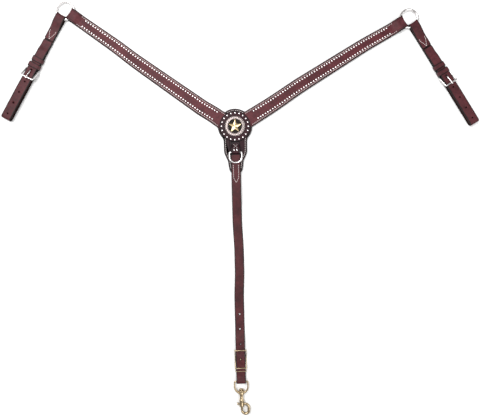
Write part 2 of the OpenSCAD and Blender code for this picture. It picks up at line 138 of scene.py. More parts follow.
def inwardOf(outline):
    # the unit normal that points into a closed outline, at each of its points
    ahead = np.roll(outline, -1, 0) - np.roll(outline, 1, 0)
    ahead /= np.linalg.norm(ahead, axis=1)[:, None]
    nextX, nextY = np.roll(outline, -1, 0).T
    area = (outline[:, 0] * nextY - nextX * outline[:, 1]).sum()
    return np.stack([-ahead[:, 1], ahead[:, 0]], 1) * np.sign(area)


def at(line, run, s):
    # the line's point at each length s
    return np.stack([np.interp(s, run, line[:, k]) for k in range(line.shape[1])], -1)


def outward(points, quads):
    # quads turned so that the signed volume about the middle is positive
    p = points - points.mean(0)
    a, b, c, d = (p[quads[:, k]] for k in range(4))
    volume = (a * np.cross(b, c)).sum() + (a * np.cross(c, d)).sum()
    return (quads, False) if volume > 0 else (quads[:, ::-1], True)


def shell(grid, closedRows=False):
    # a closed surface from a grid of points: quads between neighbours, and a face over each open end
    rows, columns = grid.shape[:2]
    i = np.arange(rows if closedRows else rows - 1)[:, None]
    k = np.arange(columns)[None]
    nextRow, nextColumn = (i + 1) % rows, (k + 1) % columns
    quads = np.stack([i * columns + k, i * columns + nextColumn, nextRow * columns + nextColumn,
        nextRow * columns + k], -1).reshape(-1, 4)
    points = grid.reshape(-1, grid.shape[2])
    quads, turned = outward(points[:, :3], quads)
    faces = quads.tolist()
    if not closedRows:
        first, last = list(range(columns)), list(range((rows - 1) * columns, rows * columns))
        faces += [first[::-1] if not turned else first, last if not turned else last[::-1]]
    return points, faces


def joined(*shapes):
    # several shapes as one
    points = np.concatenate([s[0] for s in shapes])
    starts = np.cumsum([0] + [len(s[0]) for s in shapes])
    return points, [[v + start for v in f] for s, start in zip(shapes, starts) for f in s[1]]


def addPiece(name, shape, material, uv=None, sharp=45, backs=None):
    mesh = bpy.data.meshes.new(name)
    mesh.from_pydata(np.asarray(shape[0], float).tolist(), [], shape[1])
    layer = mesh.uv_layers.new(name="leather")
    corners = np.zeros(len(mesh.loops), np.int32)
    mesh.loops.foreach_get("vertex_index", corners)
    if uv is not None:
        layer.data.foreach_set("uv", np.asarray(uv, np.float32)[corners].ravel())
    mesh.polygons.foreach_set("use_smooth", np.ones(len(mesh.polygons), bool))
    if sharp:
        mesh.set_sharp_from_angle(angle=math.radians(sharp))
    for m in (material if isinstance(material, (list, tuple)) else [material]):
        mesh.materials.append(m)
    if backs is not None:
        mesh.polygons.foreach_set("material_index", backs.astype(np.int32))
    mesh.update()
    piece = bpy.data.objects.new(name, mesh)
    bpy.context.scene.collection.objects.link(piece)
    return piece


def finishPiece(piece, body, nodes=(), bend=None):
    # the body it moves with, and the frame's nodes it stands for; with a bend its mesh is baked where it
    # stands and tied to no body
    if bend:
        bend[0]
        bend[1]
        bend[2]
        bend[3]
        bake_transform(piece)
    else:
        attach(piece, body)
    if nodes:
        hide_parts(*nodes)
    return piece


def cut(piece, shape):
    # the shape taken out of the piece, with its walls at the leather's burnished edge
    tool = addPiece("cutter", shape, piece.data.materials[0], np.zeros((len(shape[0]), 2)), sharp=0)
    change = piece.modifiers.new("cut", "BOOLEAN")
    change.operation, change.object, change.solver = "DIFFERENCE", tool, "EXACT"
    bpy.context.view_layer.objects.active = piece
    bpy.ops.object.modifier_apply(modifier="cut")
    bpy.data.objects.remove(tool)


def section(edge, stitchAt, groove):
    # one face of a strap from edge to edge: its side of the middle, the distance in from the edge and the
    # drop below the face, with quarter-round edges and a bell-shaped groove under the stitches
    turn = np.radians([0, 30, 60, 90])
    inset = np.concatenate([edge * (1 - np.cos(turn)), [edge + 0.5, stitchAt - 1.1, stitchAt - 0.5, stitchAt,
        stitchAt + 0.5, stitchAt + 1.1, stitchAt + 2.6]])
    lift = np.concatenate([edge * np.sin(turn), np.full(len(inset) - len(turn), edge)]) - edge
    lift = lift - groove * np.exp(-((inset - stitchAt) / 0.55) ** 2)
    side = np.concatenate([np.ones(len(inset)), [0], -np.ones(len(inset))])
    insets = np.concatenate([inset, [0], inset[::-1]])
    lifts = np.concatenate([lift, [0], lift[::-1]])
    return side, insets, lifts


def carried(path, half, thick, edge=1.0, tips=(0, 0), stitchAt=4.4, groove=0.3, crown=0.25, gap=3.0,
        bendGap=1.1, closed=False):
    # the section carried along a side-view path: rows gap apart, bendGap apart in bends, ends rounded by
    # tips. half and thick are numbers or functions of x. Returns, as whole grids, the section's place in the
    # view (a, b), its place across, and its distance from the nearest edge and along the path
    path = np.asarray(path, float)
    if closed:
        path = np.concatenate([path, path[:1]])
    run = runOf(path)
    keep = np.concatenate([[True], np.diff(run) > 1e-6])
    path, run = path[keep], run[keep]
    fine = np.linspace(0, run[-1], int(run[-1] / 0.4) + 2)
    line = at(path, run, fine)
    heading = np.unwrap(np.arctan2(*np.gradient(line, axis=0).T[::-1]))
    density = np.where(np.abs(np.gradient(heading, fine)) > 0.02, 1 / bendGap, 1 / gap)
    density = averaged(density, 8)
    count = np.concatenate([[0], np.cumsum(density[1:] * np.diff(fine))])
    s = np.interp(np.linspace(0, count[-1], int(count[-1]) + 2), count, fine)
    length = fine[-1]
    if closed:
        s = s[:-1]
    else:
        close = np.concatenate([edge * (1 - np.cos(np.radians([0, 25, 50, 70]))),
            max(tips) * (1 - np.cos(np.radians([6, 12, 20, 30, 42, 55, 70])))])
        s = np.unique(np.round(np.concatenate([s, close, length - close]), 4))
        s = s[np.concatenate([[True], np.diff(s) > 0.05])]
        s[-1] = length
    points = at(line, fine, s)
    turn = np.interp(s, fine, heading)
    normal = np.stack([-np.sin(turn), np.cos(turn)], 1)
    full, deep = ((v(points[:, 0]) if callable(v) else v) + 0 * s for v in (half, thick))
    wide, shrink = full.copy(), 0 * s
    if not closed:
        for tip, d in ((tips[0], s), (tips[1], length - s)):
            rounding = edge * (1 - np.sqrt(1 - (1 - np.clip(d / edge, 0, 1)) ** 2))
            shrink = np.maximum(shrink, rounding)
            if tip:
                share = np.maximum(1 - (1 - np.clip(d / tip, 0, 1)) ** 2, 1e-4)
                wide = np.minimum(wide, full * np.sqrt(share))
            else:
                wide = wide - rounding
    side, insets, lifts = section(edge, stitchAt, groove)
    scale = (wide / full)[:, None]
    across = side * (wide[:, None] - insets * scale)
    share = np.abs(across) / np.maximum(wide[:, None], 1e-3)
    up = deep[:, None] / 2 + lifts - shrink[:, None]
    outer = up + crown * (1 - share ** 2)
    across = np.concatenate([across, across[:, ::-1]], 1)
    height = np.concatenate([outer, -up[:, ::-1]], 1)
    a = points[:, :1] + normal[:, :1] * height
    b = points[:, 1:] + normal[:, 1:] * height
    ends = np.full_like(s, 99) if closed else np.minimum(s, length - s)
    near = np.minimum(np.where(side == 0, wide[:, None], insets * scale), ends[:, None])
    uv = np.stack([np.concatenate([near, near[:, ::-1]], 1), s[:, None] + 0 * a], -1)
    return a, across, b, uv


def strapPiece(name, place, path, half, thick, materials, reshape=None, **rest):
    # a flat strap along a path, with its second material on the half of the section that is its flesh side
    a, across, b, uv = carried(path, half, thick, **rest)
    grid = np.stack([a, across, b], -1)
    if reshape:
        grid = reshape(grid)
    shape = shell(grid)
    inner = np.zeros((len(a) - 1, a.shape[1]), bool)
    inner[:, a.shape[1] // 2:] = True
    backs = np.concatenate([inner.ravel(), [False, False]])
    return addPiece(name, place.placed(shape), materials, uv.reshape(-1, 2), 50, backs)


def bandPiece(name, place, path, middle, half, thick, material, **rest):
    # a band closed round the strap: its path is in the (y, z) plane and its width runs along x
    a, across, b, uv = carried(path, half, thick, closed=True, **rest)
    shape = shell(np.stack([middle + across, a, b], -1), closedRows=True)
    return addPiece(name, place.placed(shape), material, uv.reshape(-1, 2), sharp=50)


def plate(name, place, outline, low, high, material, edge=1.0, groove=0.3, stitchAt=4.6):
    # a flat ply: its outline moved inwards along its own normal in rings, which round the edges and sink the
    # stitch line, and closed across the middle
    outline = np.asarray(outline, float)
    inward = inwardOf(outline)
    turn = np.radians([0, 30, 60, 90])
    rim = edge * (1 - np.cos(turn))
    inset = np.concatenate([[stitchAt], rim[::-1], rim, [edge + 0.8, stitchAt - 0.9, stitchAt - 0.4, stitchAt,
        stitchAt + 0.4, stitchAt + 0.9]])
    dip = -groove * np.array([0, 0, 0.5, 1, 0.5, 0])
    level = np.concatenate([[low], low + edge - edge * np.sin(turn[::-1]), high - edge + edge * np.sin(turn),
        high + dip])
    grid = np.concatenate([outline[None] + inset[:, None, None] * inward[None],
        np.repeat(level[:, None], len(outline), 1)[..., None]], -1)
    uv = np.repeat(np.stack([inset, inset], 1)[:, None], len(outline), 1)
    shape = shell(grid)
    return addPiece(name, place.placed(shape), material, uv.reshape(-1, 2), sharp=50)


def copies(shape, places, along, up):
    # one small shape at many places: place + x along + y (up x along) + z up
    t = np.asarray(shape[0], float) * mm
    along = along / np.linalg.norm(along, axis=1)[:, None]
    up = np.broadcast_to(np.asarray(up, float), along.shape)
    across = np.cross(up, along)
    up = np.cross(along, across)
    corners = places[:, None] + t[None, :, :1] * along[:, None] + t[None, :, 1:2] * across[:, None]
    corners = corners + t[None, :, 2:] * up[:, None]
    return joined(*[(c, shape[1]) for c in corners])


def turned(profile, count, axis="z", closed=False):
    # a profile of (radius, height) carried round an axis; a closed one comes back to its first point
    profile = np.asarray(profile, float)
    t = np.linspace(0, 2 * math.pi, count, endpoint=False)
    around = [profile[:, :1] * np.cos(t), profile[:, :1] * np.sin(t)]
    height = profile[:, 1:] + 0 * t
    return shell(np.stack(around + [height] if axis == "z" else [height] + around, -1), closedRows=closed)


def punchHoles(piece, place, radius, low, high, first, pitch, count=4):
    # round holes through a strap from one height to another, the pitch apart along it
    punch = turned([(radius, low), (radius, high)], 28)
    for i in range(count):
        cut(piece, (place.put(punch[0] + [first + i * pitch, 0, 0]), punch[1]))


def tube(points, wide, tall=None, count=20):
    # an oval section carried along a line in space: its half width is level, its half height upwards
    p = np.asarray(points, float)
    wide = np.broadcast_to(np.asarray(wide, float), (len(p),))
    tall = wide if tall is None else np.broadcast_to(np.asarray(tall, float), (len(p),))
    ahead = np.gradient(p, axis=0)
    ahead = ahead / np.linalg.norm(ahead, axis=1)[:, None]
    across = np.cross(np.array([0, 0, 1.0]), ahead)
    flat = np.linalg.norm(across, axis=1) < 1e-3
    across[flat] = [0, 1.0, 0]
    across = across / np.linalg.norm(across, axis=1)[:, None]
    up = np.cross(ahead, across)
    t = np.linspace(0, 2 * math.pi, count, endpoint=False)
    grid = (p[:, None] + (np.cos(t) * wide[:, None])[..., None] * across[:, None]
        + (np.sin(t) * tall[:, None])[..., None] * up[:, None])
    return shell(grid)


def rod(a, b, radius, roundness=0.6, count=20):
    # a straight rod from a to b whose ends are quarter circles
    a, b = np.asarray(a, float), np.asarray(b, float)
    length = np.linalg.norm(b - a)
    t = np.radians([0, 30, 60, 90])
    s = roundness * (1 - np.cos(t))
    r = radius - roundness + roundness * np.sin(t)
    share = np.concatenate([s, length - s[::-1]]) / length
    return tube(a + (b - a) * share[:, None], np.concatenate([r, r[::-1]]), count=count)


class Maths:
    # a socket in an expression: each operator adds its Math node
    def __init__(self, finish, socket):
        self.finish, self.socket = finish, socket

    def use(self, operation, *others):
        return self.finish.node("ShaderNodeMath", {"operation": operation},
            {k: v for k, v in enumerate((self,) + others)})[0]

    def __add__(self, other): return self.use("ADD", other)
    def __radd__(self, other): return self.use("ADD", other)
    def __sub__(self, other): return self.use("SUBTRACT", other)
    def __rsub__(self, other): return self.finish.number(other).use("SUBTRACT", self)
    def __mul__(self, other): return self.use("MULTIPLY", other)
    def __rmul__(self, other): return self.use("MULTIPLY", other)

    def fade(self, a, b):
        # 0 at a, 1 at b, smooth between
        return self.finish.node("ShaderNodeMapRange", {"interpolation_type": "SMOOTHSTEP"},
            {"Value": self, "From Min": a, "From Max": b})["Result"]


class Finish:
    # a material with one Principled shader, and one method that adds any node
    def __init__(self, name, **constants):
        self.material = bpy.data.materials.new(name)
        self.material.use_nodes = True
        self.tree = self.material.node_tree
        self.tree.nodes.clear()
        self.shader = self.tree.nodes.new("ShaderNodeBsdfPrincipled")
        output = self.tree.nodes.new("ShaderNodeOutputMaterial")
        self.tree.links.new(self.shader.outputs[0], output.inputs[0])
        for key, value in constants.items():
            self.shader.inputs[key.replace("_", " ")].default_value = value
        self.place = self.node("ShaderNodeTexCoord")["Object"]

    def node(self, kind, settings={}, values={}):
        made = self.tree.nodes.new(kind)
        for key, value in settings.items():
            if key == "stops":
                ramp = made.color_ramp.elements
                while len(ramp) < len(value):
                    ramp.new(0.5)
                for stop, (position, colour) in zip(ramp, value):
                    stop.position, stop.color = position, (*colour, 1)
            else:
                setattr(made, key, value)
        for key, value in values.items():
            self.set(made.inputs[key], value)
        return Outputs(self, made)

    def set(self, socket, value):
        if isinstance(value, Maths):
            self.tree.links.new(value.socket, socket)
        elif isinstance(value, (tuple, list)) and len(value) == 3 and socket.type == "RGBA":
            socket.default_value = (*value, 1)
        else:
            socket.default_value = value

    def number(self, value):
        return self.node("ShaderNodeMath", {"operation": "ADD"}, {0: value, 1: 0.0})[0]

    def noise(self, scale, detail=3.0, roughness=0.55, place=None):
        return self.node("ShaderNodeTexNoise", {}, {"Vector": place or self.place, "Scale": scale,
            "Detail": detail, "Roughness": roughness})["Fac"]

    def surface(self):
        # the piece's own coordinates: from the nearest edge, and along
        return self.node("ShaderNodeUVMap", {"uv_map": "leather"})["UV"]

    def stretched(self, place, scale):
        return self.node("ShaderNodeMapping", {}, {"Vector": place, "Scale": scale})["Vector"]

    def blend(self, amount, a, b):
        return self.node("ShaderNodeMix", {"data_type": "RGBA"}, {"Factor": amount, 6: a, 7: b})[2]

    def finish(self, colour=None, roughness=None, bump=None, strength=0.3, distance=0.0003, **others):
        if colour is not None:
            self.set(self.shader.inputs["Base Color"], colour)
        if roughness is not None:
            self.set(self.shader.inputs["Roughness"], roughness)
        if bump is not None:
            self.set(self.shader.inputs["Normal"], self.node("ShaderNodeBump", {},
                {"Strength": strength, "Distance": distance, "Height": bump})["Normal"])
        for key, value in others.items():
            self.set(self.shader.inputs[key.replace("_", " ")], value)
        return self.material


class Outputs:
    def __init__(self, finish, made):
        self.finish, self.made = finish, made

    def __getitem__(self, key):
        return Maths(self.finish, self.made.outputs[key])


def leather(name, dark, light, edge, burnish=(0.9, 3.0), groove=None, shine=0.42):
    # grain cells of about a millimetre and finer pores, colour that wanders over centimetres, creases across
    # the strap darkened as painted shade, painted shade along the stitch groove under the stitches and edges
    # burnished nearly black
    f = Finish(name, Coat_Roughness=0.4, Specular_IOR_Level=0.22)
    edgeGap = f.node("ShaderNodeSeparateXYZ", {}, {"Vector": f.surface()})["X"]
    cloudy = f.noise(28, 4, 0.6)
    blotch = f.noise(140, 5, 0.65)
    pores = f.noise(2600, 2, 0.5)
    cells = f.node("ShaderNodeTexVoronoi", {"feature": "DISTANCE_TO_EDGE"},
        {"Vector": f.place, "Scale": 950.0, "Randomness": 0.9})["Distance"]
    creases = f.noise(1.0, 4, 0.6, f.stretched(f.surface(), (0.09, 0.9, 1.0)))
    tone = cloudy * 0.6 + blotch * 0.55 - 0.08
    colour = f.blend(tone.fade(0.25, 0.75), dark, light)
    colour = f.blend((1 - cells.fade(0.0, 0.12)) * 0.22, colour, dark)
    # painted shade: the colour darkened along the creases, where the bump sinks
    colour = f.blend(creases.fade(0.58, 0.74) * 0.3, colour, dark)
    rub = blotch.fade(0.56, 0.8) * edgeGap.fade(2.0, 5.0) * 0.25
    colour = f.blend(rub, colour, tuple(min(1.0, c * 1.45 + 0.01) for c in light))
    # painted shade: a band along the stitch groove darkened towards the edge colour
    if groove:
        line = 1 - ((edgeGap - groove).use("ABSOLUTE")).fade(0.3, 1.3)
        colour = f.blend(line * 0.55, colour, edge)
    worn = edgeGap + (blotch - 0.5) * 1.6
    colour = f.blend(1 - worn.fade(*burnish), colour, edge)
    rough = shine + 0.2 * (blotch - 0.5) + 0.12 * creases + 0.1 * edgeGap.fade(0.5, 2.5)
    bump = cells.fade(0.0, 0.25) * 0.35 + pores * 0.25 + blotch * 0.5 - creases.fade(0.5, 0.8) * 0.7
    return f.finish(colour, rough, bump, 0.5, 0.00035, Coat_Weight=0.06 * edgeGap.fade(0.2, 2.0))


def metal(name, colour, dull, roughness, tint=0.5):
    # a metal whose roughness wanders, with fine scratches and a duller film in patches
    f = Finish(name, Metallic=1.0)
    cloudy = f.noise(160, 4, 0.6)
    scratches = f.noise(900, 3, 0.7, f.stretched(f.place, (1.0, 0.12, 1.0)))
    shade = f.blend(cloudy.fade(0.45, 0.8) * tint, colour, dull)
    rough = roughness + 0.12 * cloudy.fade(0.4, 0.8) + 0.15 * (scratches - 0.5)
    return f.finish(shade, rough, scratches * 0.4 + cloudy, 0.12, 0.0001)


def antiqued(name, colour, recess, roughness):
    # bright on the high places, black in the hollows: the piece's own second coordinate is its depth
    f = Finish(name)
    hollow = f.node("ShaderNodeSeparateXYZ", {}, {"Vector": f.surface()})["Y"]
    grime = f.noise(700, 4, 0.65)
    depth = (hollow + (grime - 0.5) * 0.35).fade(0.25, 0.75)
    shade = f.blend(depth, colour, recess)
    rough = roughness + 0.35 * depth + 0.15 * (grime - 0.5)
    return f.finish(shade, rough, grime, 0.2, 0.0001, Metallic=1 - depth * 0.75)


def threadFinish(name, colour, dirt):
    # waxed thread: two tones along the ply and dirt rubbed in
    f = Finish(name, Roughness=0.7)
    twist = f.noise(1500, 2, 0.5)
    shade = f.blend(twist.fade(0.5, 0.72) * 0.7, colour, dirt)
    return f.finish(shade, None, twist, 0.6, 0.0002)


# each leather: its dark and its light tone, and its burnished edge, whose colour also paints the shade in the
# stitch groove
burgundyLeather = leather("burgundyLeather", (0.034, 0.006, 0.008), (0.098, 0.019, 0.024),
    (0.004, 0.002, 0.002))
stitchedLeather = leather("stitchedLeather", (0.042, 0.007, 0.010), (0.118, 0.023, 0.029),
    (0.004, 0.002, 0.002), groove=4.4)
yokeLeather = leather("yokeLeather", (0.010, 0.001, 0.003), (0.034, 0.004, 0.009),
    (0.003, 0.001, 0.002), groove=4.6)
tieLeather = leather("tieLeather", (0.028, 0.004, 0.006), (0.090, 0.017, 0.020), (0.004, 0.002, 0.002))
fleshLeather = leather("fleshLeather", (0.034, 0.011, 0.011), (0.075, 0.028, 0.026),
    (0.008, 0.004, 0.004), shine=0.75)
liningLeather = leather("liningLeather", (0.034, 0.011, 0.011), (0.070, 0.026, 0.024),
    (0.007, 0.004, 0.004), shine=0.6)
nickel = metal("nickel", (0.86, 0.83, 0.82), (0.58, 0.55, 0.54), 0.16)
spotNickel = metal("spotNickel", (0.95, 0.91, 0.90), (0.78, 0.74, 0.73), 0.24)
brass = metal("brass", (0.46, 0.36, 0.23), (0.15, 0.11, 0.065), 0.24, tint=0.85)
steel = metal("springSteel", (0.50, 0.50, 0.50), (0.30, 0.29, 0.28), 0.3)
gold = metal("starGold", (0.80, 0.62, 0.35), (0.62, 0.46, 0.24), 0.3)
silver = antiqued("antiquedSilver", (0.42, 0.36, 0.345), (0.030, 0.024, 0.022), 0.34)
black = antiqued("antiqueBlack", (0.10, 0.07, 0.04), (0.010, 0.007, 0.004), 0.5)
thread = threadFinish("whiteThread", (0.78, 0.72, 0.70), (0.42, 0.33, 0.31))
print("finishes ready")


def stitchShape(length, radius):
    # along x: six hexagons, thin and sunk at the ends
    x = np.array([-0.5, -0.42, -0.2, 0.2, 0.42, 0.5]) * length
    r = np.array([0.35, 0.8, 1, 1, 0.8, 0.35]) * radius
    z = np.array([-0.5, -0.1, 0.25, 0.25, -0.1, -0.5]) * radius
    t = np.radians(np.arange(0, 360, 60))
    x, r, z = x[:, None], r[:, None], z[:, None]
    return shell(np.stack([x + 0 * t, r * np.cos(t), z + r * np.sin(t)], -1))


def spotShape(radius, height):
    # a domed nail head: three rings of ten
    return turned([(radius, -0.3), (radius, 0.12 * height), (radius * 0.8, 0.6 * height),
        (radius * 0.42, 0.93 * height)], 10)


def onTop(path, x, thick, crown=0.0):
    # height and slope of the outer face of a strap's upper run at each x, for a path that sets out along +x
    path = np.asarray(path, float)
    ahead = path[:np.argmax(path[:, 0]) + 1]
    z = np.interp(x, ahead[:, 0], ahead[:, 1])
    slope = (np.interp(np.asarray(x) + 0.5, ahead[:, 0], ahead[:, 1])
        - np.interp(np.asarray(x) - 0.5, ahead[:, 0], ahead[:, 1]))
    return z + (thick / 2 + crown) * np.sqrt(1 + slope ** 2), slope


def evenly(points, pitch):
    # points the pitch apart along a line, with the heading at each
    points = np.asarray(points, float)
    run = runOf(points)
    s = np.arange(pitch / 2, run[-1], pitch)
    return at(points, run, s), at(points, run, s + 0.3) - at(points, run, s - 0.3)


def evenlyOnEach(lines, pitch):
    # the same for several lines, as one array of points and one of headings
    return (np.concatenate(v) for v in zip(*[evenly(line, pitch) for line in lines]))


def stitches(name, place, points, headings, length=3.5, radius=0.6, under=False):
    # one sewn stitch at each point, turned a little across its row
    headings = np.asarray(headings, float)
    headings = headings / np.linalg.norm(headings, axis=1)[:, None]
    lean = np.cross(np.array([0, 0, 1.0]), headings) * 0.12
    shape = copies(stitchShape(length, radius), place.put(points), place.turn(headings + lean),
        (0, 0, -1.0) if under else (0, 0, 1.0))
    return addPiece(name, shape, thread, sharp=0)


# the yoke: the round top and the shield, its lining, and the rosette on it
# strapHalf and sewnHalf clear the shoulder straps, tieHalf the tie-down; lining, face and rosette are heights
yoke = {"topRadius": 44.5, "topRise": 1.5, "edge": 1.1, "stitchInset": 4.6, "stitchPitch": 4.8,
    "lining": (0.0, 3.2), "face": (3.25, 6.05), "rosetteRadius": 40.0, "rosette": (6.2, 8.6),
    "underStrap": 43.5, "strapHalf": 20.5, "sewnHalf": 21.6, "tieHalf": 12.9, "tieStart": 70}
# half the shield's width at distances below the rosette's middle
stations = [(0, 45), (8, 43), (38, 30), (62, 29.8), (97, 19.2), (109, 17.4), (127, 9)]
shieldSide = np.concatenate([stepPoints(p, q, 12) for p, q in zip(stations, stations[1:])])
crownAngles = np.radians(np.linspace(0, 92, 46))
crownSide = np.stack([-yoke["topRise"] - yoke["topRadius"] * np.cos(crownAngles),
    yoke["topRadius"] * np.sin(crownAngles)], 1)
lowX = np.linspace(2, 127, 90)
roundHalf = np.sqrt(np.maximum(yoke["topRadius"] ** 2 - (lowX + yoke["topRise"]) ** 2, 0))
shieldHalf = np.where(lowX > 8, np.interp(lowX, *shieldSide.T), 0)
lowSide = np.stack([lowX, np.maximum(roundHalf, shieldHalf)], 1)
yokeSide = np.concatenate([crownSide, lowSide])
yokeOutline = np.concatenate([yokeSide, (yokeSide * [1, -1])[::-1][:-1]])
for side in sides:
    # the outline stops short of the bend under each shoulder strap
    local = shoulderPlace[side].find(down.put(atHeight(yokeOutline)))
    under = (np.abs(local[:, 1]) < yoke["strapHalf"]) & (local[:, 0] > yoke["underStrap"])
    local[:, 0] = np.where(under, yoke["underStrap"], local[:, 0])
    back = down.find(shoulderPlace[side].put(atHeight(local)))
    yokeOutline = np.where(under[:, None], back, yokeOutline)
finishPiece(plate("yokeFace", down, yokeOutline, *yoke["face"], yokeLeather, yoke["edge"]),
    "yoke", ["yoke"])
finishPiece(plate("yokeLining", down, yokeOutline, *yoke["lining"], liningLeather, yoke["edge"], 0.2),
    "yoke", ["yoke_lining"])
circleAngles = np.radians(np.arange(0, 360, 3))
circle = np.stack([np.cos(circleAngles), np.sin(circleAngles)], 1) * yoke["rosetteRadius"]
finishPiece(plate("rosettePatch", down, circle, *yoke["rosette"], yokeLeather, 0.9, 0.15, 2.4),
    "yoke", ["rosette"])

# one stitch line inside the outline, left out under the rosette, the tie-down and the shoulder straps
inside = yokeOutline + yoke["stitchInset"] * inwardOf(yokeOutline)
sewn, sewnHeadings = evenly(np.concatenate([inside, inside[:1]]), yoke["stitchPitch"])
seen = np.hypot(*sewn.T) > yoke["rosetteRadius"] + 0.6
seen &= (np.abs(sewn[:, 1]) > yoke["tieHalf"]) | (sewn[:, 0] < yoke["tieStart"])
for side in sides:
    local = shoulderPlace[side].find(down.put(atHeight(sewn)))
    seen &= ~((local[:, 0] > 0) & (np.abs(local[:, 1]) < yoke["sewnHalf"]))
sewn, flat = sewn[seen], atHeight(sewnHeadings[seen])
finishPiece(stitches("yokeStitches", down, atHeight(sewn, 5.85), flat), "yoke")
finishPiece(stitches("yokeBackStitches", down, atHeight(sewn, 0.1), flat, under=True), "yoke")

# the spots: twenty in a ring on the rosette, and two rows on each shoulder at a share of its half width
spot = {"radius": 2.45, "height": 1.45, "ring": 34.5, "count": 20, "first": 64.0, "last": 57.9, "pitch": 7.5,
    "row": 0.52, "rosetteSeat": 8.6, "strapSeat": 6.38}
t = math.pi / 2 + 2 * math.pi * np.arange(spot["count"]) / spot["count"]
ringSpots = mm * np.stack([spot["ring"] * np.cos(t), spot["ring"] * np.sin(t),
    spot["rosetteSeat"] + 0 * t], 1)
finishPiece(addPiece("rosetteSpots", copies(spotShape(spot["radius"], spot["height"]), ringSpots,
    np.tile([1.0, 0, 0], (len(t), 1)), (0, 0, 1.0)), spotNickel, sharp=60),
    "yoke", ["rosette_spots"])
print("yoke done")

# the concho: rope edge, engraved band, beaded inner rim, dark field and a raised star
# rope and bead are (radius, half width), band is (inner radius, width), and each foot and top is a height
concho = {"ropeTurns": 60, "rope": (25.0, 0.98), "leaves": 24, "band": (20.1, 3.8), "bead": (19.15, 0.78),
    "fieldTop": 10.35, "fieldFoot": 9.7, "starTip": 17.9, "starValley": 7.3, "starTop": 13.1,
    "starFoot": 10.2, "tipHeight": 11.5, "valleyHeight": 11.15}
theta = np.linspace(0, 2 * math.pi, 480, endpoint=False)[None]
r = np.concatenate([[3.0, 25.2, 25.9], np.linspace(25.95, 24.05, 9), np.linspace(23.9, 20.1, 17),
    np.linspace(19.9, 18.4, 8), [18.3, 17.6, 9.0, 3.0]])[:, None]
base = np.concatenate([[8.6, 8.6, 9.0], np.full(9, 11.0), np.linspace(11.45, 11.55, 17), np.full(8, 11.4),
    [9.9, 9.8, 9.8, 9.8]])[:, None]
row = np.arange(len(r))[:, None]
rope = np.sqrt(np.maximum(1 - ((r - concho["rope"][0]) / concho["rope"][1]) ** 2, 0)) * (row > 2)
twist = np.abs(np.sin(concho["ropeTurns"] / 2 * theta + 1.5 * (r - concho["rope"][0])))
bead = np.sqrt(np.maximum(1 - ((r - concho["bead"][0]) / concho["bead"][1]) ** 2, 0)) * (row > 11)
u = (r - concho["band"][0]) / concho["band"][1]
band = (u > -0.01) & (u < 1.01) & (row > 11)
lobe = np.abs(np.cos(concho["leaves"] / 2 * theta + 1.1 * (u - 0.5)))
leaf = smooth(lobe, 0.06, 0.38) * smooth(u, 0.02, 0.14) * (1 - smooth(u, 0.86, 0.98))
carve = np.where(band, 1 - leaf, 0)
between = np.abs(np.sin(concho["leaves"] / 2 * theta))
dot = np.where(band, np.exp(-(between / 0.16) ** 2 - ((u - 0.5) / 0.13) ** 2), 0)
height = base + rope * (0.35 + 0.65 * twist) + bead * 0.75 - 0.32 * carve - 0.25 * dot
depth = np.clip(np.where(rope > 0, 1 - twist ** 0.6, 0) + carve * 0.85 + dot + (base < 9.95), 0, 1)
rimShape = shell(np.stack([r * np.cos(theta), r * np.sin(theta), height], -1) * mm)
rimUv = np.stack([0 * depth, depth], -1).reshape(-1, 2)
finishPiece(addPiece("conchoRim", rimShape, silver, rimUv, sharp=70),
    "yoke", ["concho_plate"])
r = np.linspace(18.2, 0.6, 30)[:, None]
theta = np.linspace(0, 2 * math.pi, 144, endpoint=False)[None]
pebble = 0.10 * np.sin(r * 3.1 + 3 * np.sin(7 * theta)) * np.sin(29 * theta + 1.7 * r)
fieldGrid = np.stack([r * np.cos(theta), r * np.sin(theta), concho["fieldTop"] + pebble], -1)
fieldGrid = np.concatenate([fieldGrid[:1] * [1, 1, 0] + [0, 0, concho["fieldFoot"]], fieldGrid]) * mm
fieldUv = np.tile([0, 1.0], (fieldGrid[..., 0].size, 1))
finishPiece(addPiece("conchoField", shell(fieldGrid), black, fieldUv, sharp=0),
    "yoke", ["concho_field"])
k = np.arange(10)
corner = np.where(k % 2 == 0, concho["starTip"], concho["starValley"])[:, None] * np.stack(
    [np.cos(math.pi / 2 + k * math.pi / 5), np.sin(math.pi / 2 + k * math.pi / 5)], 1)
corner = np.c_[corner, np.where(k % 2 == 0, concho["tipHeight"], concho["valleyHeight"])]
share = np.linspace(0, 1, 9)[:-1]
step = np.roll(corner, -1, 0) - corner
edgeLine = (corner[:, None] + step[:, None] * share[:, None]).reshape(-1, 3)
levels = np.array([0.0, 0.0, 0.035, 0.08, 0.3, 0.6, 0.9, 0.97])[:, None, None]
starGrid = edgeLine[None] * (1 - levels * [1, 1, 0])
starGrid = starGrid + levels * np.array([0, 0, 1.0]) * (concho["starTop"] - edgeLine[None, :, 2:])
starGrid[0, :, 2], starGrid[1, :, 2] = concho["starFoot"], edgeLine[:, 2] - 0.35
finishPiece(addPiece("conchoStar", shell(starGrid * mm), gold, sharp=12),
    "yoke", ["concho_star"])
print("concho done")

